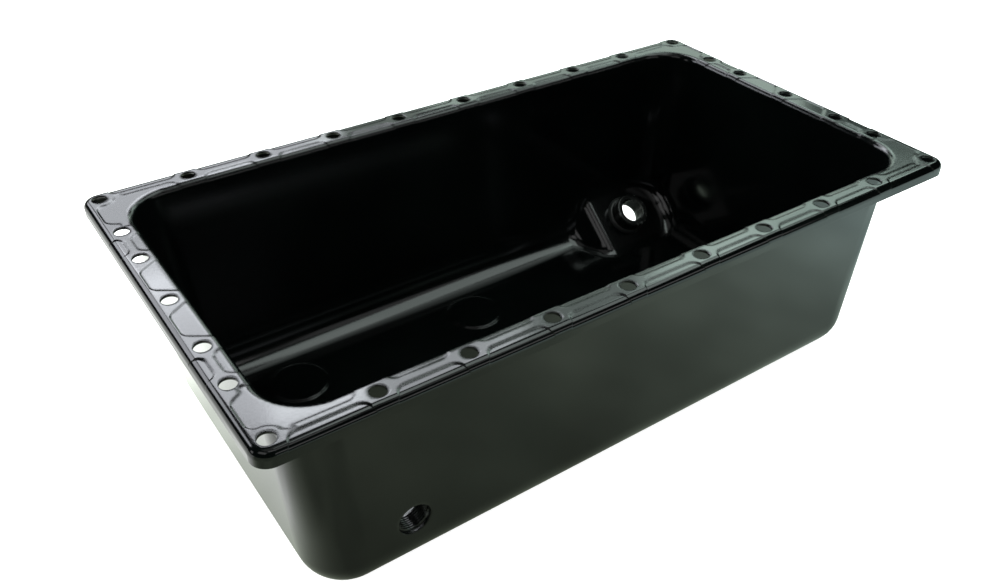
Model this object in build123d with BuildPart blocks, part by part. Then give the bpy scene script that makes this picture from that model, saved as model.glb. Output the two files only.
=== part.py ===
from build123d import *
from math import atan2, cos, degrees, hypot, radians, sin, tan
import os

# Deep-drawn steel oil pan that bolts to the underside of an engine block, with two welded drain bosses.
# X runs along the pan, the front wall faces -Y and Z is up. The origin is the middle of the footprint,
# on the underside of the floor, and the gasket face is the top of the flange. Sizes are in millimetres.

# ---- Sheet and overall form ----
sheet = 1.5  # thickness of the pressed sheet
pan_depth = 150.0  # underside of the floor to the gasket face
bolt_span_x = 467.5  # corner bolt to corner bolt along the pan
bolt_span_y = 245.0  # corner bolt to corner bolt across the pan

# ---- Flange ----
flange_margin = 9.6  # bolt line to the outer face of the skirt
skirt_depth = 9.0  # gasket face to the lower edge of the turned-down skirt
rim_radius = 4.5  # outside of the roll between flange and skirt
mouth_radius = 4.0  # upper side of the bend between flange and wall
bolt_hole_diameter = 9.0
emboss = 0.5  # how far the recesses lie below the gasket face
emboss_slope = 1.2  # width of the slope from the gasket face down to a recess
emboss_overlap = 0.75  # width of the doubled sheet at each step

# ---- Bolts, as shares of the span from a corner bolt, and repeated from the other corner ----
side_bolt_shares = (0.1176, 0.2252, 0.3335, 0.4421)
end_bolt_shares = (0.1767, 0.3106)  # an end also has a bolt in its middle

# ---- Recesses between the bolts: long edge from the bolt line, and clearance from each bolt ----
recess_corner_radius = 5.0
recess_lean = 0.65  # how far a recess end leans for each millimetre across the flange
rim_recess_line = 2.7
rim_recess_clearance = 4.4
end_rim_recess_line = 3.2
mouth_recess_line = 4.0
mouth_recess_clearance = 5.5
pair_recess_line = 2.4
pair_recess_clearance = 2.5
wide_recess_line = 4.4
wide_recess_clearance = 2.8
corner_recess_line = 2.6
corner_pad_radius = 9.0
corner_field = 38.0  # bolt line to where the recess round a mouth corner ends, along both sides

# ---- Drawn walls ----
wall_setback = 9.4  # bolt line to the inside of the wall at the gasket face
end_draft = 4.38  # lean of each end wall from upright, in degrees
side_draft = 0.57  # lean of each long wall from upright, in degrees
wall_corner_radius = 29.0  # outside of the upright corners
floor_radius = 25.0  # outside of the bend between wall and floor

# ---- Ramp pressed into the back right corner of the floor ----
ramp_angle = 39.0  # rise from the floor
ramp_run = 43.5  # foot of the ramp to the inside of the back wall, at floor level
ramp_length = 73.0  # ridge to the inside of the end wall, at floor level
cheek_splay = 21.0  # how much further the cheek reaches where it meets the back wall
ridge_radius = 9.0  # inside of the bend between ramp and cheek
ramp_bend_radius = 13.0  # inside of the bends around the ramp and its cheek

# ---- Round stiffening pads raised in the floor ----
pad_radius = 20.0
pad_height = 1.2
pad_from_back = 44.0  # pad centres to the inside of the back wall, at floor level
pad_from_end = 67.0  # first pad's centre to the inside of the left end wall, at floor level

# ---- Drain bosses, threaded M20 x 1.5, and the holes that they stand behind ----
thread_bore_diameter = 18.4
boss_diameter = 29.0
boss_length = 12.0
boss_chamfer = 1.0
weld_bead = 2.5  # leg of the weld at the foot of a boss
weld_fullness = 0.6  # how full the weld's face is: 0.5 is flat
drain_hole_diameter = 20.4
front_drain_from_end = 54.5  # to the inside of the left end wall, at floor level
front_drain_height = 41.0
rear_drain_from_ridge = 31.0  # along the foot of the ramp
rear_drain_up_ramp = 29.0  # up the slope from the foot

# ---- Worked out from the sizes above ----
mouth_length = bolt_span_x - 2 * wall_setback
mouth_width = bolt_span_y - 2 * wall_setback
skirt_foot = pan_depth - skirt_depth
back_wall_y = mouth_width / 2 - tan(radians(side_draft)) * (pan_depth - sheet)
end_wall_x = mouth_length / 2 - tan(radians(end_draft)) * (pan_depth - sheet)
ramp_foot = Vector(end_wall_x - ramp_length, back_wall_y - ramp_run, sheet)
ramp_slope = Vector(0, cos(radians(ramp_angle)), sin(radians(ramp_angle)))
ramp_plane = Plane(origin=ramp_foot, x_dir=(1, 0, 0), z_dir=Vector(1, 0, 0).cross(ramp_slope))
cheek_normal = ramp_slope.cross(Vector(-cheek_splay, ramp_run, 0))
cheek_plane = Plane(origin=ramp_foot, x_dir=ramp_slope, z_dir=cheek_normal)


# ---- Forms shared by the pieces ----
def corner_wedge(inset):
    """Block under the ramp and its cheek, with its two slanted faces moved into it by an inset."""
    with BuildPart() as wedge:
        with Locations((ramp_foot.X - 2 * cheek_splay, ramp_foot.Y - ramp_run, 0)):
            Box(mouth_length, mouth_width, 2 * pan_depth, align=(Align.MIN, Align.MIN, Align.CENTER))
        split(bisect_by=ramp_plane.offset(-inset), keep=Keep.BOTTOM)
        split(bisect_by=cheek_plane.offset(-inset), keep=Keep.BOTTOM)
        ridge = wedge.edges().filter_by(Axis((0, 0, 0), ramp_slope))
        fillet(ridge, ridge_radius - inset)
    return wedge.part


def drawn_form(offset_out):
    """Solid inside the walls, floor and ramp, with every face moved outwards by an offset."""
    with BuildPart() as form:
        with Locations((0, 0, pan_depth)):
            Box(
                mouth_length + 2 * offset_out,
                mouth_width + 2 * offset_out,
                pan_depth - sheet + offset_out,
                align=(Align.CENTER, Align.CENTER, Align.MAX),
            )
        draft(form.faces().filter_by(Axis.X), Plane.XY.offset(pan_depth), -end_draft)
        draft(form.faces().filter_by(Axis.Y), Plane.XY.offset(pan_depth), -side_draft)
        upright_edges = form.edges().group_by(Axis.Z)[1]
        fillet(upright_edges, wall_corner_radius - sheet + offset_out)
        floor_edges = form.faces().sort_by(Axis.Z)[0].edges()
        fillet(floor_edges, floor_radius - sheet + offset_out)
        add(corner_wedge(offset_out), mode=Mode.SUBTRACT)
        fillet(form.edges(Select.NEW), ramp_bend_radius + offset_out)
        with Locations(*[(x, back_wall_y - pad_from_back, 0) for x in (pad_from_end - end_wall_x, 0)]):
            Cylinder(pad_radius - offset_out, 2 * (sheet + pad_height - offset_out), mode=Mode.SUBTRACT)
    return form.part


cavity = drawn_form(0)
outer_form = drawn_form(sheet)


def flange_outline(height, inset):
    """Outline of the flange at a height, moved in by an inset."""
    with BuildSketch(Plane.XY.offset(height)) as outline:
        RectangleRounded(
            bolt_span_x + 2 * (flange_margin - inset),
            bolt_span_y + 2 * (flange_margin - inset),
            flange_margin - inset,
        )
    return outline.sketch


def pressing(lowered):
    """The whole pressed sheet, with its flange lowered from the gasket face and no holes in it."""
    flange_top = pan_depth - lowered
    underside = flange_top - sheet
    with BuildPart() as skin:
        add(flange_outline(skirt_foot, 0))
        extrude(amount=flange_top - skirt_foot)
        fillet(skin.faces().sort_by(Axis.Z)[-1].edges(), rim_radius)
        add(flange_outline(skirt_foot, sheet))
        extrude(amount=underside - skirt_foot, mode=Mode.SUBTRACT)
        under_flange = skin.faces().filter_by(Axis.Z).sort_by(Axis.Z)[-2]
        fillet(under_flange.edges(), rim_radius - sheet)
        add(outer_form)
        split(bisect_by=Plane.XY.offset(flange_top), keep=Keep.BOTTOM)
        under_bend = skin.faces().filter_by(Axis.Z).filter_by_position(Axis.Z, underside, underside)
        fillet(under_bend[0].inner_wires()[0].edges(), mouth_radius - sheet)
        add(cavity, mode=Mode.SUBTRACT)
        gasket_face = skin.faces().sort_by(Axis.Z)[-1]
        fillet(gasket_face.inner_wires()[0].edges(), mouth_radius)
    return skin.part


def bolt_row(shares, middle_bolts, span):
    """Places of the bolts along a side, from corner to corner, with its first half repeated in mirror."""
    first_half = [0.0, *(share * span for share in shares)]
    return [*first_half, *middle_bolts, *(span - place for place in reversed(first_half))]


side_row = bolt_row(side_bolt_shares, [], bolt_span_x)
end_row = bolt_row(end_bolt_shares, [bolt_span_y / 2], bolt_span_y)
rim_edge = -flange_margin - sheet  # where a recess that opens to the rim is cut off, outside the skirt
mouth_edge = wall_setback + 2 * sheet  # where a recess that opens to the mouth is cut off, inside the wall


def recess(start, end, long_line, open_edge, clearances, growth):
    """Outline of one recess between two bolts of a side, grown all round.

    The bolts are on the X axis at start and end. The recess opens across the flange edge at
    Y = open_edge, reaches to Y = long_line, and keeps a clearance from each bolt at its open edge.
    """
    outwards = 1 if open_edge > long_line else -1
    grown_line = long_line - outwards * growth
    lean = recess_lean * abs(open_edge - grown_line)
    widening = growth * hypot(1, recess_lean)
    left = start + clearances[0] - widening
    right = end - clearances[1] + widening
    with BuildSketch() as outline:
        with BuildLine():
            Polyline(
                (left, open_edge),
                (left + lean, grown_line),
                (right - lean, grown_line),
                (right, open_edge),
                close=True,
            )
        make_face()
        long_corners = outline.vertices().filter_by_position(Axis.Y, grown_line, grown_line)
        fillet(long_corners, recess_corner_radius + growth)
    return outline.sketch


def side_recesses(growth):
    """Recesses of a long side, with its first corner bolt at the origin and the mouth towards +Y."""
    rim_gaps = (rim_recess_clearance, rim_recess_clearance)
    mouth_gaps = (mouth_recess_clearance, mouth_recess_clearance)
    with BuildSketch() as side:
        for start, end in zip(side_row, side_row[1:]):
            add(recess(start, end, -rim_recess_line, rim_edge, rim_gaps, growth))
        for start, end in zip(side_row[1:-2], side_row[2:-1]):
            add(recess(start, end, mouth_recess_line, mouth_edge, mouth_gaps, growth))
        corner_gaps = (0, mouth_recess_clearance)
        add(recess(0, side_row[1], corner_recess_line, mouth_edge, corner_gaps, growth))
        mirrored = recess(0, side_row[1], corner_recess_line, mouth_edge, corner_gaps, growth)
        add(mirrored.mirror(Plane.YZ).moved(Location((bolt_span_x, 0))))
    return side.sketch


def end_recesses(growth):
    """Recesses of an end, with its first corner bolt at the origin and the mouth towards +Y."""
    rim_gaps = (rim_recess_clearance, rim_recess_clearance)
    pair_gaps = (pair_recess_clearance, pair_recess_clearance)
    wide_gaps = (wide_recess_clearance, wide_recess_clearance)
    corner_gaps = (0, wide_recess_clearance)
    with BuildSketch() as half:
        add(recess(0, end_row[1], -wide_recess_line, mouth_edge, corner_gaps, growth))
        add(recess(end_row[1], end_row[2], -end_rim_recess_line, rim_edge, rim_gaps, growth))
        add(recess(end_row[1], end_row[2], pair_recess_line, mouth_edge, pair_gaps, growth))
        add(recess(end_row[2], end_row[3], -wide_recess_line, mouth_edge, wide_gaps, growth))
    with BuildSketch() as both_halves:
        add(half.sketch)
        add(half.sketch.mirror(Plane.YZ).moved(Location((bolt_span_y, 0))))
    return both_halves.sketch


corner_x = bolt_span_x / 2
corner_y = bolt_span_y / 2
emboss_foot = pan_depth - emboss - rim_radius - sheet  # below the roll and bend that the recesses lower
recess_height = pan_depth - emboss


def recess_outlines(height, growth):
    """Outlines of all the recesses of the flange at a height, grown all round."""
    with BuildSketch(Plane.XY.offset(height)) as outlines:
        with Locations(Location((-corner_x, -corner_y), 0), Location((corner_x, corner_y), 180)):
            add(side_recesses(growth))
        with Locations(Location((corner_x, -corner_y), 90), Location((-corner_x, corner_y), -90)):
            add(end_recesses(growth))
        field_side = corner_field - corner_recess_line
        field_inset = corner_field + corner_recess_line
        with GridLocations(bolt_span_x - field_inset, bolt_span_y - field_inset, 2, 2):
            Rectangle(field_side + 2 * growth, field_side + 2 * growth)
        with GridLocations(bolt_span_x, bolt_span_y, 2, 2):
            Circle(corner_pad_radius - growth, mode=Mode.SUBTRACT)
    return outlines.sketch


def recess_block(growth, height):
    """Block over all the recesses of the flange, from below its bends up to a height."""
    with BuildPart() as block:
        add(recess_outlines(emboss_foot, growth))
        extrude(amount=height - emboss_foot)
    return block.part


def sloped_recesses():
    """Cutter for the recesses, upright below their floor and sloping outwards above it."""
    steepness = degrees(atan2(emboss_slope, emboss))
    with BuildPart() as cutter:
        add(recess_block(0, recess_height))
        add(recess_outlines(recess_height, 0))
        extrude(amount=2 * emboss, taper=-steepness)
    return cutter.part


# ---- Drain places: on the inner face of the wall or ramp, with Z into the pan ----
front_wall_y = -mouth_width / 2 + tan(radians(side_draft)) * (pan_depth - front_drain_height)
front_drain_plane = Plane(
    origin=(front_drain_from_end - end_wall_x, front_wall_y, front_drain_height),
    x_dir=(1, 0, 0),
    z_dir=Vector(0, 1, 0).rotate(Axis.X, side_draft),
)
rear_drain_origin = ramp_foot + ramp_slope * rear_drain_up_ramp + Vector(rear_drain_from_ridge, 0, 0)
rear_drain_plane = Plane(origin=rear_drain_origin, x_dir=(1, 0, 0), z_dir=ramp_plane.z_dir)
drain_planes = (front_drain_plane, rear_drain_plane)

# ---- The pressed shell ----
bolt_places = [(x - corner_x, y * corner_y) for x in side_row for y in (-1, 1)]
bolt_places += [(x * corner_x, y - corner_y) for y in end_row[1:-1] for x in (-1, 1)]

with BuildPart() as pan_shell:
    add(pressing(0))
    add(sloped_recesses(), mode=Mode.SUBTRACT)
    lowered_parts = pressing(emboss).intersect(recess_block(emboss_overlap, pan_depth))
    add(lowered_parts)
    with Locations(*[(x, y, pan_depth) for x, y in bolt_places]):
        Hole(bolt_hole_diameter / 2, skirt_depth)
    for plane in drain_planes:
        with BuildSketch(plane):
            Circle(drain_hole_diameter / 2)
        extrude(amount=2 * sheet, both=True, mode=Mode.SUBTRACT)
pan_shell.part.label = "pan_shell"


# ---- The welded drain bosses ----
def drain_boss(plane):
    """Threaded boss standing on a plane, with its weld round the foot, running on below the plane."""
    bore_radius = thread_bore_diameter / 2
    outer_radius = boss_diameter / 2
    weld_radius = outer_radius + weld_bead
    with BuildPart() as boss:
        with BuildSketch(Plane(origin=plane.origin, x_dir=plane.x_dir, z_dir=-plane.y_dir)):
            with BuildLine():
                ThreePointArc(
                    (weld_radius, 0),
                    (outer_radius + weld_fullness * weld_bead, weld_fullness * weld_bead),
                    (outer_radius, weld_bead),
                )
                Polyline(
                    (outer_radius, weld_bead),
                    (outer_radius, boss_length - boss_chamfer),
                    (outer_radius - boss_chamfer, boss_length),
                    (bore_radius + boss_chamfer, boss_length),
                    (bore_radius, boss_length - boss_chamfer),
                    (bore_radius, boss_chamfer),
                    (bore_radius + boss_chamfer, 0),
                    (bore_radius + boss_chamfer, -sheet),
                    (weld_radius, -sheet),
                    (weld_radius, 0),
                )
            make_face()
        revolve(axis=Axis(plane.origin, plane.z_dir))
    return boss.part


with BuildPart() as front_drain_boss:
    add(drain_boss(front_drain_plane))
    add(cavity, mode=Mode.INTERSECT)
front_drain_boss.part.label = "front_drain_boss"

with BuildPart() as rear_drain_boss:
    add(drain_boss(rear_drain_plane))
    add(cavity, mode=Mode.INTERSECT)
rear_drain_boss.part.label = "rear_drain_boss"

# ---- Files ----
os.makedirs("parts", exist_ok=True)
export_step(pan_shell.part, "parts/pan_shell.step")
export_step(front_drain_boss.part, "parts/front_drain_boss.step")
export_step(rear_drain_boss.part, "parts/rear_drain_boss.step")
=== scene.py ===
import logging
from dataclasses import dataclass
from enum import Enum
from math import asin, cos, pi, radians, sin, sqrt, tan, tau
from typing import Any

import bpy
from mathutils import Matrix, Vector


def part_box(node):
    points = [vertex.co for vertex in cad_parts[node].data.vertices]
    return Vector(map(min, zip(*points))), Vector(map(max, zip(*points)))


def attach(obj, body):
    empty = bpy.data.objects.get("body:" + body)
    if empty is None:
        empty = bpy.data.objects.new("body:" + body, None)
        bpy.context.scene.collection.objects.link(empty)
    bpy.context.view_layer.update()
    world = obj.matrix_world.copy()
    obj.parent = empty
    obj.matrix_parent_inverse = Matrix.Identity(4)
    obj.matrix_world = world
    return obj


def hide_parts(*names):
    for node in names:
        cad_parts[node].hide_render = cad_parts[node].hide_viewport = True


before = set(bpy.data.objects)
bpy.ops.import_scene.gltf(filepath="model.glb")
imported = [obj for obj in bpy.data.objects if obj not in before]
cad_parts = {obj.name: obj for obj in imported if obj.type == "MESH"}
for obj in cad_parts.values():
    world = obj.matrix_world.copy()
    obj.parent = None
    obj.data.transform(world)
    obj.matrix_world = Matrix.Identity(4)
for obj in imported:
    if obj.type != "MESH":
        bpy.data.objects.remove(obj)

# Looks of a deep-drawn steel oil pan in black stoving enamel, with two welded drain bosses. The frame is
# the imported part's: metres, X along the pan, -Y out of the front wall, Z up out of the mouth.

MM = 0.001
log = logging.getLogger("oil_pan")

Point = tuple[float, float, float]
Pair = tuple[float, float]


# ---- Selecting ----
def deselect_all() -> None:
    """Leave nothing selected before an operator runs."""
    bpy.ops.object.select_all(action="DESELECT")


def use_only(piece: bpy.types.Object) -> None:
    """Select one piece alone and make it the active one.

    Args:
        piece: The piece that the next operators work on.
    """
    deselect_all()
    piece.select_set(True)
    bpy.context.view_layer.objects.active = piece


# ---- Colours and nodes ----
def hex_to_linear(code: str) -> tuple[float, float, float, float]:
    """Turn an sRGB hex code into a linear colour.

    Args:
        code: Six hex digits, such as "1f2a26".

    Returns:
        Linear red, green, blue and an alpha of one.
    """
    parts = [int(code[i:i + 2], 16) / 255 for i in (0, 2, 4)]
    linear = [p / 12.92 if p <= 0.04045 else ((p + 0.055) / 1.055) ** 2.4 for p in parts]
    return (linear[0], linear[1], linear[2], 1.0)


def add_node(
    tree: bpy.types.NodeTree, kind: str, inputs: dict[Any, Any] | None = None, **settings: Any,
) -> Any:
    """Add one node with its settings, values and links.

    Args:
        tree: Node tree that takes the node.
        kind: Blender's name of the node type.
        inputs: Value or source socket for each input, by the input's name or number.
        settings: Properties of the node itself.

    Returns:
        The new node.
    """
    node = tree.nodes.new(kind)
    for name, value in settings.items():
        setattr(node, name, value)
    for key, value in (inputs or {}).items():
        if isinstance(value, bpy.types.NodeSocket):
            tree.links.new(value, node.inputs[key])
        else:
            node.inputs[key].default_value = value
    return node


def start_material(name: str) -> tuple[bpy.types.Material, bpy.types.NodeTree, bpy.types.NodeSocket]:
    """Start a material with no nodes but its coordinates.

    Args:
        name: Name of the material.

    Returns:
        The material, its node tree and the socket of Object coordinates, in metres.
    """
    material = bpy.data.materials.new(name)
    material.use_nodes = True
    tree = material.node_tree
    tree.nodes.clear()
    return material, tree, add_node(tree, "ShaderNodeTexCoord").outputs["Object"]


@dataclass(frozen=True)
class Grain:
    """Size of one cell of a soft noise, the number of its finer layers and the strength of each."""

    cell_mm: float
    finer_layers: float
    layer_strength: float = 0.5

    def inputs(self, place: bpy.types.NodeSocket) -> dict[Any, Any]:
        """Give the inputs of the noise that shows this grain.

        Args:
            place: Socket of the coordinates that it lies on.

        Returns:
            Value or socket of each input, by its name.
        """
        return {
            "Vector": place, "Scale": 1 / (self.cell_mm * MM),
            "Detail": self.finer_layers, "Roughness": self.layer_strength,
        }


# ---- Finishes ----
@dataclass(frozen=True)
class StovedEnamel:
    """Black stoving enamel on cold-pressed steel, dipped and baked.

    The dip leaves a wet gloss with a fine orange peel over slow waves of the sheet, and slight haze where
    the film is thin. A haze span is the part of the noise over which the film thins. A roughness goes from
    its lowest to its highest value. The rim rolls over between two distances from the shell's edge.
    """

    name: str = "black_stoving_enamel_on_pressed_steel"
    film_colour: str = "020303"
    thin_film_colour: str = "040706"
    ior: float = 1.5
    haze: Grain = Grain(70.0, 5.0, 0.6)
    haze_colour_span: Pair = (0.35, 0.7)
    haze_gloss_span: Pair = (0.3, 0.75)
    roughness: Pair = (0.09, 0.15)
    sheet_wave: Grain = Grain(46.0, 1.0)
    sheet_wave_depth_mm: float = 0.06
    orange_peel: Grain = Grain(2.2, 2.0)
    orange_peel_depth_mm: float = 0.012
    step_softness_mm: float = 2.4
    rim_softness_mm: float = 0.4
    rim_roll_mm: Pair = (7.0, 4.0)
    softness_samples: int = 6

    def soft_steps(
        self, tree: bpy.types.NodeTree, place: bpy.types.NodeSocket, half_sides: Pair,
    ) -> bpy.types.NodeSocket:
        """Turn the shading over each pressed step, and less at the tight roll round the rim.

        Args:
            tree: The enamel's node tree.
            place: Socket of Object coordinates.
            half_sides: Half the shell's length and half its width, in metres.

        Returns:
            The socket of the softened slopes.
        """
        axes = add_node(tree, "ShaderNodeSeparateXYZ", {"Vector": place})
        past_side = []
        for axis, half_side in zip("XY", half_sides):
            reach = add_node(tree, "ShaderNodeMath", {0: axes.outputs[axis]}, operation="ABSOLUTE")
            past = add_node(tree, "ShaderNodeMath", {
                0: reach.outputs["Value"], 1: half_side,
            }, operation="SUBTRACT")
            past_side.append(past.outputs["Value"])
        past_rim = add_node(tree, "ShaderNodeMath", {0: past_side[0], 1: past_side[1]}, operation="MAXIMUM")
        softness = add_node(tree, "ShaderNodeMapRange", {
            "Value": past_rim.outputs["Value"],
            "From Min": -self.rim_roll_mm[0] * MM, "From Max": -self.rim_roll_mm[1] * MM,
            "To Min": self.step_softness_mm * MM, "To Max": self.rim_softness_mm * MM,
        })
        soft = add_node(
            tree, "ShaderNodeBevel", {"Radius": softness.outputs["Result"]}, samples=self.softness_samples,
        )
        return soft.outputs["Normal"]

    def material(self, half_sides: Pair) -> bpy.types.Material:
        """Build the enamel's node tree.

        Args:
            half_sides: Half the shell's length and half its width, in metres.

        Returns:
            The finished material.
        """
        material, tree, place = start_material(self.name)
        haze = add_node(tree, "ShaderNodeTexNoise", self.haze.inputs(place))
        thin_film = add_node(tree, "ShaderNodeMapRange", {
            "Value": haze.outputs["Fac"],
            "From Min": self.haze_colour_span[0], "From Max": self.haze_colour_span[1],
        })
        colour = add_node(tree, "ShaderNodeMix", {
            0: thin_film.outputs["Result"],
            6: hex_to_linear(self.film_colour),
            7: hex_to_linear(self.thin_film_colour),
        }, data_type="RGBA")
        roughness = add_node(tree, "ShaderNodeMapRange", {
            "Value": haze.outputs["Fac"],
            "From Min": self.haze_gloss_span[0], "From Max": self.haze_gloss_span[1],
            "To Min": self.roughness[0], "To Max": self.roughness[1],
        })
        wave = add_node(tree, "ShaderNodeTexNoise", self.sheet_wave.inputs(place))
        wavy_sheet = add_node(tree, "ShaderNodeBump", {
            "Strength": 1.0, "Distance": self.sheet_wave_depth_mm * MM,
            "Height": wave.outputs["Fac"], "Normal": self.soft_steps(tree, place, half_sides),
        })
        peel = add_node(tree, "ShaderNodeTexNoise", self.orange_peel.inputs(place))
        orange_peel = add_node(tree, "ShaderNodeBump", {
            "Strength": 1.0, "Distance": self.orange_peel_depth_mm * MM,
            "Height": peel.outputs["Fac"], "Normal": wavy_sheet.outputs["Normal"],
        })
        shader = add_node(tree, "ShaderNodeBsdfPrincipled", {
            "Base Color": colour.outputs[2], "Roughness": roughness.outputs["Result"],
            "IOR": self.ior, "Normal": orange_peel.outputs["Normal"],
        })
        add_node(tree, "ShaderNodeOutputMaterial", {"Surface": shader.outputs["BSDF"]})
        return material


@dataclass(frozen=True)
class EnamelledWeld:
    """Gas-shielded weld bead under the enamel, which gathers in its ripples and thins on their tops."""

    name: str = "enamelled_weld_bead"
    film_colour: str = "0a0c0b"
    crest_colour: str = "1e2220"
    roughness: Pair = (0.25, 0.5)
    ior: float = 1.5
    spatter: Grain = Grain(1.4, 3.0)
    spatter_depth_mm: float = 0.25

    def material(self) -> bpy.types.Material:
        """Build the weld bead's node tree.

        Returns:
            The finished material.
        """
        material, tree, place = start_material(self.name)
        spatter = add_node(tree, "ShaderNodeTexNoise", self.spatter.inputs(place))
        colour = add_node(tree, "ShaderNodeMix", {
            0: spatter.outputs["Fac"],
            6: hex_to_linear(self.film_colour),
            7: hex_to_linear(self.crest_colour),
        }, data_type="RGBA")
        roughness = add_node(tree, "ShaderNodeMapRange", {
            "Value": spatter.outputs["Fac"], "To Min": self.roughness[0], "To Max": self.roughness[1],
        })
        beads = add_node(tree, "ShaderNodeBump", {
            "Strength": 1.0, "Distance": self.spatter_depth_mm * MM, "Height": spatter.outputs["Fac"],
        })
        shader = add_node(tree, "ShaderNodeBsdfPrincipled", {
            "Base Color": colour.outputs[2], "Roughness": roughness.outputs["Result"],
            "IOR": self.ior, "Normal": beads.outputs["Normal"],
        })
        add_node(tree, "ShaderNodeOutputMaterial", {"Surface": shader.outputs["BSDF"]})
        return material


@dataclass(frozen=True)
class TurnedSteelUnderEnamel:
    """Turned and tapped free-cutting steel under a thin coat of enamel, which lets the tool marks show.

    The coat is rubbed duller and greyer in patches. Real tool marks are finer, and are drawn coarse enough
    to show.
    """

    name: str = "thinly_enamelled_turned_steel"
    film_colour: str = "0a0c0b"
    rubbed_colour: str = "343836"
    roughness: Pair = (0.18, 0.36)
    ior: float = 1.5
    rubbed_patch: Grain = Grain(5.0, 4.0)
    rubbed_span: Pair = (0.55, 0.75)
    tool_mark: Grain = Grain(0.9, 1.0)
    tool_mark_depth_mm: float = 0.02

    def material(self) -> bpy.types.Material:
        """Build the turned steel's node tree.

        Returns:
            The finished material.
        """
        material, tree, place = start_material(self.name)
        patches = add_node(tree, "ShaderNodeTexNoise", self.rubbed_patch.inputs(place))
        rubbed = add_node(tree, "ShaderNodeMapRange", {
            "Value": patches.outputs["Fac"],
            "From Min": self.rubbed_span[0], "From Max": self.rubbed_span[1],
        })
        colour = add_node(tree, "ShaderNodeMix", {
            0: rubbed.outputs["Result"],
            6: hex_to_linear(self.film_colour),
            7: hex_to_linear(self.rubbed_colour),
        }, data_type="RGBA")
        roughness = add_node(tree, "ShaderNodeMapRange", {
            "Value": rubbed.outputs["Result"], "To Min": self.roughness[0], "To Max": self.roughness[1],
        })
        marks = add_node(tree, "ShaderNodeTexNoise", self.tool_mark.inputs(place))
        tool_marks = add_node(tree, "ShaderNodeBump", {
            "Strength": 1.0, "Distance": self.tool_mark_depth_mm * MM, "Height": marks.outputs["Fac"],
        })
        shader = add_node(tree, "ShaderNodeBsdfPrincipled", {
            "Base Color": colour.outputs[2], "Roughness": roughness.outputs["Result"],
            "IOR": self.ior, "Normal": tool_marks.outputs["Normal"],
        })
        add_node(tree, "ShaderNodeOutputMaterial", {"Surface": shader.outputs["BSDF"]})
        return material


@dataclass(frozen=True)
class StudioPaper:
    """Matt white background paper, with a glow of its own that keeps it white under the pan."""

    name: str = "white_studio_paper"
    colour: str = "f4f4f2"
    roughness: float = 0.9
    glow_colour: str = "ffffff"
    glow: float = 0.80

    def material(self) -> bpy.types.Material:
        """Build the paper's node tree.

        Returns:
            The finished material.
        """
        material, tree, _ = start_material(self.name)
        shader = add_node(tree, "ShaderNodeBsdfPrincipled", {
            "Base Color": hex_to_linear(self.colour), "Roughness": self.roughness,
            "Emission Color": hex_to_linear(self.glow_colour), "Emission Strength": self.glow,
        })
        add_node(tree, "ShaderNodeOutputMaterial", {"Surface": shader.outputs["BSDF"]})
        return material


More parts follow.
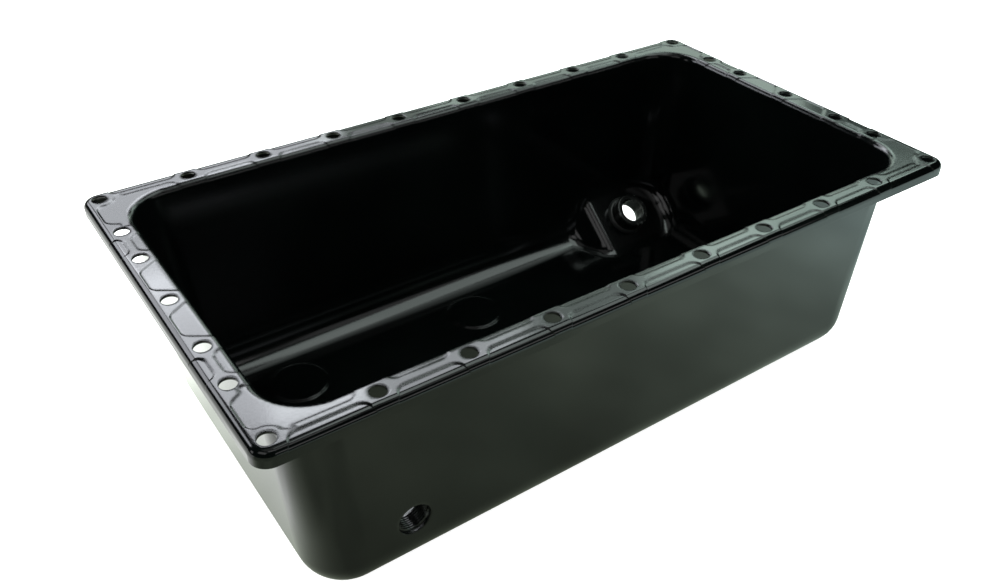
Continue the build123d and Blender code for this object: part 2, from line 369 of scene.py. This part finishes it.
@dataclass(frozen=True)
class TableSheen:
    """Painted reflection of the table in the pan's outer walls, a glow that only their gloss sees.

    It is bright beside the pan, with a painted shadow of the pan in front of it and painted shade at its
    foot.
    A span gives where a change starts and ends along X or Y, in millimetres. A glow is a radiance, first at
    its weakest and then at its strongest. A rise is the power that makes a glow grow slowly at first.
    """

    name: str = "table_sheen"
    # The shaded colour and the weak end of the front glow paint the pan's shadow in front of it.
    shaded_colour: str = "e2f2d4"
    open_colour: str = "dcf6f0"
    left_colour: str = "fbfffb"
    front_glow: Pair = (0.42, 1.35)
    front_span_mm: Pair = (-200.0, 350.0)
    front_rise: float = 1.75
    # Painted shade near the pan's foot: the glow falls to this share of itself there.
    foot_shade_level: float = 0.5
    foot_shade_span_mm: Pair = (-105.0, -215.0)
    left_glow: Pair = (0.40, 1.35)
    left_span_mm: Pair = (-165.0, -245.0)
    left_reach_mm: Pair = (-145.0, -45.0)
    left_rise: float = 1.5
    back_extra: float = 1.3
    back_span_mm: Pair = (20.0, 125.0)
    back_edge_mm: Pair = (-268.0, -232.0)
    cloud: Grain = Grain(110.0, 2.0)
    cloud_span: Pair = (0.35, 0.65)
    cloud_share: float = 0.2

    def share(
        self, tree: bpy.types.NodeTree, along: bpy.types.NodeSocket, span_mm: Pair, rise: float = 1.0,
    ) -> bpy.types.NodeSocket:
        """Work out how far along a span a place lies.

        Args:
            tree: The sheen's node tree.
            along: Socket of the place's X or Y.
            span_mm: Where the share is 0 and where it is 1.
            rise: Power that the share is raised to.

        Returns:
            The socket of the share.
        """
        share = add_node(tree, "ShaderNodeMapRange", {
            "Value": along, "From Min": span_mm[0] * MM, "From Max": span_mm[1] * MM,
        })
        curve = add_node(tree, "ShaderNodeMath", {0: share.outputs["Result"], 1: rise}, operation="POWER")
        return curve.outputs["Value"]

    def front(
        self, tree: bpy.types.NodeTree, axes: bpy.types.Node, to_right: bpy.types.NodeSocket,
    ) -> bpy.types.NodeSocket:
        """Work out the glow in front of the pan, a painted shadow of the pan that grows lighter to the
        right and darker near the pan's foot in painted shade.

        Args:
            tree: The sheen's node tree.
            axes: Node with the place's X and Y.
            to_right: Socket of the share of the way to the right.

        Returns:
            The socket of the glow.
        """
        # Painted shadow of the pan: the glow is weakest at the left and grows to the right.
        level = add_node(tree, "ShaderNodeMapRange", {
            "Value": to_right, "To Min": self.front_glow[0], "To Max": self.front_glow[1],
        })
        # Painted shade: the glow is darker near the pan's foot.
        painted_foot_shade = add_node(tree, "ShaderNodeMapRange", {
            "Value": self.share(tree, axes.outputs["Y"], self.foot_shade_span_mm), "To Min": self.foot_shade_level,
        })
        front = add_node(tree, "ShaderNodeMath", {
            0: level.outputs["Result"], 1: painted_foot_shade.outputs["Result"],
        }, operation="MULTIPLY")
        return front.outputs["Value"]

    def left(
        self, tree: bpy.types.NodeTree, axes: bpy.types.Node,
        beside: bpy.types.NodeSocket, to_back: bpy.types.NodeSocket,
    ) -> bpy.types.NodeSocket:
        """Work out the glow left of the pan, which grows to the back, most of all in a strip near the pan.

        Args:
            tree: The sheen's node tree.
            axes: Node with the place's X and Y.
            beside: Socket of the share of the way out to the left.
            to_back: Socket of the share of the way to the back.

        Returns:
            The socket of the glow.
        """
        level = add_node(tree, "ShaderNodeMapRange", {
            "Value": to_back, "To Min": self.left_glow[0], "To Max": self.left_glow[1],
        })
        left = add_node(tree, "ShaderNodeMath", {
            0: level.outputs["Result"], 1: beside,
        }, operation="MULTIPLY")
        strip = add_node(tree, "ShaderNodeMath", {
            0: self.share(tree, axes.outputs["Y"], self.back_span_mm, self.left_rise),
            1: self.share(tree, axes.outputs["X"], self.back_edge_mm),
        }, operation="MULTIPLY")
        left_and_strip = add_node(tree, "ShaderNodeMath", {
            0: strip.outputs["Value"], 1: self.back_extra, 2: left.outputs["Value"],
        }, operation="MULTIPLY_ADD")
        return left_and_strip.outputs["Value"]

    def material(self) -> bpy.types.Material:
        """Build the sheen's node tree.

        Returns:
            The finished material.
        """
        material, tree, place = start_material(self.name)
        axes = add_node(tree, "ShaderNodeSeparateXYZ", {"Vector": place})
        to_right = self.share(tree, axes.outputs["X"], self.front_span_mm, self.front_rise)
        beside = self.share(tree, axes.outputs["X"], self.left_span_mm)
        to_back = self.share(tree, axes.outputs["Y"], self.left_reach_mm, self.left_rise)
        glow = add_node(tree, "ShaderNodeMath", {
            0: self.front(tree, axes, to_right), 1: self.left(tree, axes, beside, to_back),
        }, operation="MAXIMUM")
        clouds = add_node(tree, "ShaderNodeTexNoise", self.cloud.inputs(place))
        patches = add_node(tree, "ShaderNodeMapRange", {
            "Value": clouds.outputs["Fac"], "From Min": self.cloud_span[0], "From Max": self.cloud_span[1],
            "To Min": 1 - self.cloud_share, "To Max": 1 + self.cloud_share,
        })
        uneven_glow = add_node(tree, "ShaderNodeMath", {
            0: glow.outputs["Value"], 1: patches.outputs["Result"],
        }, operation="MULTIPLY")
        front_colour = add_node(tree, "ShaderNodeMix", {
            0: to_right,
            6: hex_to_linear(self.shaded_colour),
            7: hex_to_linear(self.open_colour),
        }, data_type="RGBA")
        left_share = add_node(tree, "ShaderNodeMath", {0: beside, 1: to_back}, operation="MULTIPLY")
        colour = add_node(tree, "ShaderNodeMix", {
            0: left_share.outputs["Value"],
            6: front_colour.outputs[2],
            7: hex_to_linear(self.left_colour),
        }, data_type="RGBA")
        emission = add_node(tree, "ShaderNodeEmission", {
            "Color": colour.outputs[2], "Strength": uneven_glow.outputs["Value"],
        })
        add_node(tree, "ShaderNodeOutputMaterial", {"Surface": emission.outputs["Emission"]})
        return material


# ---- The pressed shell ----
@dataclass
class PressedShell:
    """The pressed steel shell, whose solid is carried over and dressed."""

    node: str = "pan_shell"
    finish: StovedEnamel = StovedEnamel()

    def dress(self) -> bpy.types.Object:
        """Give the carried-over node its enamel.

        Returns:
            The dressed node.
        """
        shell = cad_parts[self.node]
        lowest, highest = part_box(self.node)
        half_sides = ((highest[0] - lowest[0]) / 2, (highest[1] - lowest[1]) / 2)
        enamel = self.finish.material(half_sides)
        for slot in shell.material_slots:
            slot.material = enamel
        return shell


# ---- The drain bosses ----
class Drain(Enum):
    """The two drains, each named for the node of its boss."""

    FRONT = "front_drain_boss"
    REAR = "rear_drain_boss"


@dataclass
class DrainSeats:
    """Places of the two drains on the inner face of the shell, in millimetres and degrees."""

    bolt_span_x: float = 467.5
    bolt_span_y: float = 245.0
    wall_setback: float = 9.4
    end_draft: float = 4.38
    side_draft: float = 0.57
    depth: float = 150.0
    sheet: float = 1.5
    front_from_end: float = 54.5
    front_height: float = 41.0
    ramp_angle: float = 39.0
    ramp_run: float = 43.5
    ramp_length: float = 73.0
    rear_from_ridge: float = 31.0
    rear_up_ramp: float = 29.0

    def inside(self, bolt_span: float, draft: float, height: float) -> float:
        """Work out how far from the middle a leaning wall's inner face is.

        Args:
            bolt_span: Corner bolt to corner bolt, across to the opposite wall.
            draft: Lean of the wall from upright.
            height: Height above the underside of the floor.

        Returns:
            Distance from the middle of the pan to the inner face.
        """
        return bolt_span / 2 - self.wall_setback - tan(radians(draft)) * (self.depth - height)

    def front(self) -> tuple[Vector, Vector]:
        """Work out where the front drain sits on its wall.

        Returns:
            The middle of the drain, and the way into the pan.
        """
        lean = radians(self.side_draft)
        across = self.front_from_end - self.inside(self.bolt_span_x, self.end_draft, self.sheet)
        wall = -self.inside(self.bolt_span_y, self.side_draft, self.front_height)
        return Vector((across, wall, self.front_height)), Vector((0, cos(lean), sin(lean)))

    def rear(self) -> tuple[Vector, Vector]:
        """Work out where the rear drain sits on the ramp.

        Returns:
            The middle of the drain, and the way into the pan.
        """
        rise = radians(self.ramp_angle)
        slope = Vector((0, cos(rise), sin(rise)))
        foot = Vector((
            self.inside(self.bolt_span_x, self.end_draft, self.sheet) - self.ramp_length,
            self.inside(self.bolt_span_y, self.side_draft, self.sheet) - self.ramp_run,
            self.sheet,
        ))
        along = Vector((1, 0, 0))
        return foot + along * self.rear_from_ridge + slope * self.rear_up_ramp, along.cross(slope)

    def seat(self, drain: Drain) -> Matrix:
        """Place a boss, with its Z axis into the pan.

        Args:
            drain: Which of the two drains.

        Returns:
            The seat as a matrix in metres.
        """
        middle, inwards = self.front() if drain is Drain.FRONT else self.rear()
        along = Vector((1, 0, 0))
        turn = Matrix((along, inwards.cross(along), inwards)).transposed().to_4x4()
        return Matrix.Translation(middle * MM) @ turn


@dataclass
class DrainBoss:
    """A turned steel boss with a tapped bore, welded over a drain hole.

    It is built standing on the XY plane with its bore on Z, then set on its seat. Sizes are in millimetres.
    A smooth angle is in degrees, and an edge that turns more than it stays sharp.
    """

    drain: Drain
    seat: Matrix
    outer_radius: float = 14.5
    height: float = 12.0
    foot_depth: float = 1.0
    mouth_radius: float = 10.2
    edge_chamfer: float = 1.0
    edge_softness: float = 0.18
    edge_segments: int = 2
    root_radius: float = 10.0
    crest_radius: float = 9.2
    thread_pitch: float = 1.5
    thread_root_share: float = 0.92
    thread_crest_share: float = 0.18
    thread_bite: float = 0.25
    merge_distance: float = 0.001
    weld_leg: float = 2.5
    weld_crown: float = 0.46
    weld_root: float = 0.3
    weld_ripple: float = 0.35
    weld_ripple_length: float = 2.6
    weld_steps: int = 6
    facets: int = 96
    thread_steps_per_turn: int = 64
    smooth_body: float = 30.0
    smooth_thread: float = 25.0
    smooth_weld: float = 60.0

    def ring_piece(self, name: str, outline: list[Pair]) -> bpy.types.Object:
        """Make a turned piece by extruding a ring along its closed outline.

        Args:
            name: Name of the new piece.
            outline: Radius and height of each corner in turn, in millimetres.

        Returns:
            The new piece, standing at the origin.
        """
        deselect_all()
        radius, height = outline[0]
        bpy.ops.mesh.primitive_circle_add(
            vertices=self.facets, radius=radius * MM, location=(0, 0, height * MM),
        )
        piece = bpy.context.active_object
        piece.name = name
        bpy.ops.object.transform_apply(location=True, rotation=True, scale=True)
        bpy.ops.object.mode_set(mode="EDIT")
        bpy.ops.mesh.select_all(action="SELECT")
        for next_radius, next_height in outline[1:]:
            rise = (next_height - height) * MM
            bpy.ops.mesh.extrude_region_move(TRANSFORM_OT_translate={"value": (0, 0, rise)})
            growth = next_radius / radius
            bpy.ops.transform.resize(value=(growth, growth, 1), center_override=(0, 0, next_height * MM))
            radius, height = next_radius, next_height
        bpy.ops.mesh.select_all(action="DESELECT")
        bpy.ops.mesh.select_non_manifold()
        bpy.ops.mesh.bridge_edge_loops()
        bpy.ops.mesh.select_all(action="SELECT")
        bpy.ops.mesh.normals_make_consistent(inside=False)
        bpy.ops.object.mode_set(mode="OBJECT")
        return piece

    def body(self) -> bpy.types.Object:
        """Make the turned body, bored to the thread's root.

        Returns:
            The new piece, standing at the origin.
        """
        countersink = self.mouth_radius - self.root_radius
        piece = self.ring_piece(f"{self.drain.value}_body", [
            (self.mouth_radius, -self.foot_depth),
            (self.mouth_radius, 0.0),
            (self.root_radius, countersink),
            (self.root_radius, self.height - countersink),
            (self.mouth_radius, self.height),
            (self.outer_radius - self.edge_chamfer, self.height),
            (self.outer_radius, self.height - self.edge_chamfer),
            (self.outer_radius, -self.foot_depth),
        ])
        use_only(piece)
        edges = piece.modifiers.new("soft_edges", "BEVEL")
        edges.width = self.edge_softness * MM
        edges.segments = self.edge_segments
        edges.angle_limit = radians(self.smooth_body)
        bpy.ops.object.modifier_apply(modifier=edges.name)
        bpy.ops.object.shade_smooth_by_angle(angle=radians(self.smooth_body))
        return piece

    def thread_profile(self) -> bpy.types.Object:
        """Make the four-sided profile of the thread's ridge, at the thread's start.

        Returns:
            The profile as a piece with one face.
        """
        half_root = self.thread_root_share * self.thread_pitch / 2
        half_crest = self.thread_crest_share * self.thread_pitch / 2
        start = self.edge_chamfer + half_crest
        buried = self.root_radius + self.thread_bite
        deselect_all()
        bpy.ops.mesh.primitive_plane_add(size=2 * MM, location=(0, 0, 0))
        profile = bpy.context.active_object
        # A new plane's corners come in the order left near, right near, left far, right far.
        corners = (
            (self.crest_radius, -half_crest),
            (buried, -half_root),
            (self.crest_radius, half_crest),
            (buried, half_root),
        )
        for vertex, (radius, height) in zip(profile.data.vertices, corners):
            vertex.co = Vector((radius * MM, 0, (start + height) * MM))
        return profile

    def thread(self) -> bpy.types.Object:
        """Make the thread's ridge as a profile carried round the bore along its pitch.

        Returns:
            The new piece, standing at the origin.
        """
        piece = self.thread_profile()
        piece.name = f"{self.drain.value}_thread"
        run = self.height - 2 * self.edge_chamfer - self.thread_crest_share * self.thread_pitch
        turns = run / self.thread_pitch
        helix = piece.modifiers.new("helix", "SCREW")
        helix.axis = "Z"
        helix.angle = tau * turns
        helix.screw_offset = run * MM
        helix.steps = int(self.thread_steps_per_turn * turns)
        helix.render_steps = helix.steps
        helix.use_smooth_shade = False
        use_only(piece)
        bpy.ops.object.modifier_apply(modifier=helix.name)
        bpy.ops.object.mode_set(mode="EDIT")
        bpy.ops.mesh.select_all(action="SELECT")
        bpy.ops.mesh.remove_doubles(threshold=self.merge_distance * MM)
        bpy.ops.mesh.normals_make_consistent(inside=False)
        bpy.ops.object.mode_set(mode="OBJECT")
        bpy.ops.object.shade_smooth_by_angle(angle=radians(self.smooth_thread))
        return piece

    def weld_face(self) -> list[Pair]:
        """Work out the bead's bulging face as an arc from its toe on the sheet to its top on the body.

        Returns:
            Radius and height of each point of the arc, in millimetres.
        """
        half_chord = self.weld_leg * sqrt(0.5)
        arc_radius = (half_chord ** 2 + self.weld_crown ** 2) / (2 * self.weld_crown)
        half_angle = asin(half_chord / arc_radius)
        centre = self.weld_leg / 2 - (arc_radius - self.weld_crown) * sqrt(0.5)
        face = []
        for step in range(self.weld_steps + 1):
            # The face looks out halfway between the sheet and the body.
            angle = radians(45) + half_angle * (2 * step / self.weld_steps - 1)
            outwards, upwards = centre + arc_radius * cos(angle), centre + arc_radius * sin(angle)
            face.append((self.outer_radius + outwards, upwards))
        return face

    def weld(self) -> bpy.types.Object:
        """Make the weld bead round the foot, with its ripples pressed into the mesh.

        Returns:
            The new piece, standing at the origin.
        """
        inner = self.outer_radius - self.weld_root
        piece = self.ring_piece(f"{self.drain.value}_weld", [
            (inner, -self.foot_depth),
            (self.outer_radius + self.weld_leg, -self.foot_depth),
            *self.weld_face(),
            (inner, self.weld_leg),
        ])
        use_only(piece)
        clouds = bpy.data.textures.new(f"{self.drain.value}_ripples", "CLOUDS")
        clouds.noise_scale = self.weld_ripple_length * MM
        clouds.noise_depth = 1
        ripples = piece.modifiers.new("ripples", "DISPLACE")
        ripples.texture = clouds
        ripples.texture_coords = "LOCAL"
        ripples.strength = self.weld_ripple * MM
        ripples.mid_level = 0.5
        bpy.ops.object.modifier_apply(modifier=ripples.name)
        bpy.ops.object.shade_smooth_by_angle(angle=radians(self.smooth_weld))
        return piece

    def build(self) -> list[bpy.types.Object]:
        """Build the boss, set it on its seat and dress it.

        Returns:
            The boss's pieces, built in place of the node, which is hidden.
        """
        turned = TurnedSteelUnderEnamel().material()
        bead = EnamelledWeld().material()
        pieces = [self.body(), self.thread(), self.weld()]
        for piece, material in zip(pieces, (turned, turned, bead)):
            use_only(piece)
            piece.matrix_world = self.seat
            bpy.ops.object.transform_apply(location=True, rotation=True, scale=True)
            piece.data.materials.clear()
            piece.data.materials.append(material)
            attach(piece, "root")
        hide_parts(self.drain.value)
        return pieces


# ---- The studio ----
class Aim(Enum):
    """What the softboxes are turned to, in metres."""

    LEFT_OF_FLANGE = (-0.2, 0.0, 0.15)
    LEFT_OF_MIDDLE = (-0.1, 0.0, 0.15)
    MOUTH = (0.0, 0.0, 0.15)
    FRONT_OF_MOUTH = (0.0, -0.1, 0.15)
    RIGHT_OF_MIDDLE = (0.1, 0.0, 0.15)
    HALF_DEPTH = (0.0, 0.05, 0.05)
    FLOOR = (0.0, 0.01, 0.0)
    RAMP = (0.15, 0.08, 0.03)
    RAMP_FOOT = (0.13, 0.09, 0.02)


@dataclass
class Softbox:
    """One soft studio light aimed at the pan, placed and sized in metres, with its glow as a radiance."""

    name: str
    place: Point
    aim: Aim
    sides: Pair
    glow: float
    colour: str = "ffffff"

    def build(self) -> bpy.types.Object:
        """Add the light, with its power worked out from its glow and area.

        Returns:
            The light's object.
        """
        data = bpy.data.lights.new(self.name, "AREA")
        data.shape = "RECTANGLE"
        data.size, data.size_y = self.sides
        data.energy = self.glow * data.size * data.size_y * pi
        data.color = hex_to_linear(self.colour)[:3]
        light = bpy.data.objects.new(self.name, data)
        light.location = self.place
        outwards = Vector(self.aim.value) - Vector(self.place)
        light.rotation_euler = outwards.to_track_quat("-Z", "Y").to_euler()
        bpy.context.scene.collection.objects.link(light)
        return light


@dataclass
class Studio:
    """Camera, floor, surroundings and lights. Lengths are in metres and angles in degrees."""

    camera_place: Point = (-0.32605, -0.4254, 0.4464)
    azimuth: float = -35.369
    elevation: float = 35.735
    roll: float = 0.981
    lens_mm: float = 34.674
    sensor_mm: float = 36.0
    nearest_sight: float = 0.01
    floor_side: float = 12.0
    sheen_drop: float = 0.001
    surround_colour: str = "ffffff"
    surround_glow: float = 1.0

    def camera(self) -> bpy.types.Object:
        """Add the camera and make it the scene's own.

        Returns:
            The camera's object.
        """
        azimuth, elevation, roll = radians(self.azimuth), radians(self.elevation), radians(self.roll)
        level = Vector((cos(azimuth), sin(azimuth), 0))
        back = Vector((sin(azimuth) * cos(elevation), -cos(azimuth) * cos(elevation), sin(elevation)))
        upright = back.cross(level)
        right = cos(roll) * level + sin(roll) * upright
        up = cos(roll) * upright - sin(roll) * level
        data = bpy.data.cameras.new("camera")
        data.sensor_fit = "HORIZONTAL"
        data.sensor_width = self.sensor_mm
        data.lens = self.lens_mm
        data.clip_start = self.nearest_sight
        camera = bpy.data.objects.new("camera", data)
        turn = Matrix((right, up, back)).transposed().to_4x4()
        camera.matrix_world = Matrix.Translation(self.camera_place) @ turn
        bpy.context.scene.collection.objects.link(camera)
        bpy.context.scene.camera = camera
        return camera

    def plane(self, name: str, height: float, material: bpy.types.Material) -> bpy.types.Object:
        """Lay a wide plane of the studio, which is no piece of the pan.

        Args:
            name: Name of the plane.
            height: Height of the plane.
            material: What it is made of.

        Returns:
            The plane's object.
        """
        deselect_all()
        bpy.ops.mesh.primitive_plane_add(size=self.floor_side, location=(0, 0, height))
        plane = bpy.context.active_object
        plane.name = name
        plane.data.materials.append(material)
        return plane

    def floor(self) -> bpy.types.Object:
        """Lay the white paper that the pan stands on, which its gloss doesn't see.

        Returns:
            The floor's object.
        """
        floor = self.plane("studio_floor", 0.0, StudioPaper().material())
        floor.visible_glossy = False
        return floor

    def table_sheen(self) -> bpy.types.Object:
        """Lay the painted reflection of the table, which only the gloss of the pan sees, just under the
        paper.

        Returns:
            The sheen's object.
        """
        sheen = self.plane("table_sheen", -self.sheen_drop, TableSheen().material())
        sheen.visible_camera = False
        sheen.visible_diffuse = False
        sheen.visible_shadow = False
        sheen.visible_transmission = False
        return sheen

    def surround(self) -> None:
        """Make the surroundings an even white, which the pan's gloss doesn't see."""
        world = bpy.data.worlds.new("white_surround")
        world.use_nodes = True
        world.node_tree.nodes.clear()
        glow = add_node(world.node_tree, "ShaderNodeBackground", {
            "Color": hex_to_linear(self.surround_colour), "Strength": self.surround_glow,
        })
        add_node(world.node_tree, "ShaderNodeOutputWorld", {"Surface": glow.outputs["Background"]})
        world.cycles_visibility.glossy = False
        bpy.context.scene.world = world

    def lights(self) -> list[bpy.types.Object]:
        """Hang the softboxes.

        Returns:
            The lights' objects.
        """
        boxes = [
            Softbox("back_key", (0.00, 1.20, 1.14), Aim.LEFT_OF_FLANGE, (0.76, 0.40), 8.0, "f4f8ff"),
            Softbox("back_key_low", (0.02, 1.20, 0.80), Aim.LEFT_OF_FLANGE, (0.78, 0.30), 4.4, "f4f8ff"),
            Softbox("back_left", (-0.80, 1.20, 0.90), Aim.LEFT_OF_FLANGE, (0.76, 0.56), 5.0, "f4f8ff"),
            Softbox("back_high", (0.54, 1.22, 1.64), Aim.LEFT_OF_MIDDLE, (0.70, 0.60), 5.5, "f4faff"),
            Softbox("back_middle", (1.28, 1.20, 1.57), Aim.MOUTH, (0.76, 0.64), 1.6, "ecfff8"),
            Softbox("back_right", (2.14, 1.20, 1.62), Aim.RIGHT_OF_MIDDLE, (1.10, 0.58), 3.4, "e4fff4"),
            Softbox("right_low", (2.20, 1.20, 1.08), Aim.RIGHT_OF_MIDDLE, (1.00, 0.36), 0.40, "e4fff4"),
            Softbox("back_low", (1.15, 1.20, 0.70), Aim.RIGHT_OF_MIDDLE, (0.90, 0.36), 2.0, "e8fff2"),
            Softbox("back_low_left", (0.55, 1.20, 0.70), Aim.MOUTH, (0.36, 0.34), 1.1, "ecfff4"),
            Softbox("right_high", (1.05, 0.29, 1.28), Aim.FRONT_OF_MOUTH, (0.80, 0.34), 2.5, "e8fff6"),
            Softbox("right_overhead", (0.60, -0.17, 1.50), Aim.HALF_DEPTH, (0.80, 0.92), 2.6, "f0fffa"),
            Softbox("front_high", (0.54, -0.75, 1.34), Aim.RAMP, (0.48, 0.38), 0.5),
            Softbox("front_left_high", (-0.12, -0.60, 1.22), Aim.RAMP, (0.60, 0.26), 1.1),
            Softbox("front_left", (-0.77, -0.41, 0.97), Aim.RAMP, (0.61, 0.38), 1.0),
            Softbox("left_low", (-1.20, 0.26, 0.51), Aim.RAMP_FOOT, (0.26, 0.34), 1.5),
            Softbox("front_low", (0.79, -1.70, 0.83), Aim.MOUTH, (1.60, 0.36), 1.2),
            Softbox("overhead_fill", (0.0, 0.0, 2.30), Aim.FLOOR, (1.60, 1.00), 0.3),
        ]
        return [box.build() for box in boxes]

    def build(self) -> None:
        """Set up the whole studio."""
        self.camera()
        self.floor()
        self.table_sheen()
        self.surround()
        self.lights()
        bpy.context.scene.view_settings.view_transform = "Standard"
        log.info("studio: camera, floor and lights in place")


def main() -> None:
    """Build the looks of the pan piece by piece and keep its sizes."""
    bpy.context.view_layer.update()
    logging.basicConfig(level=logging.INFO, format="%(name)s: %(message)s")
    Studio().build()
    pieces = [PressedShell().dress()]
    seats = DrainSeats()
    for drain in Drain:
        pieces += DrainBoss(drain, seats.seat(drain)).build()
    for piece in pieces:
        log.info("%s: %d faces in %s", piece.name, len(piece.data.polygons), piece.active_material.name)


if __name__ == "__main__":
    main()
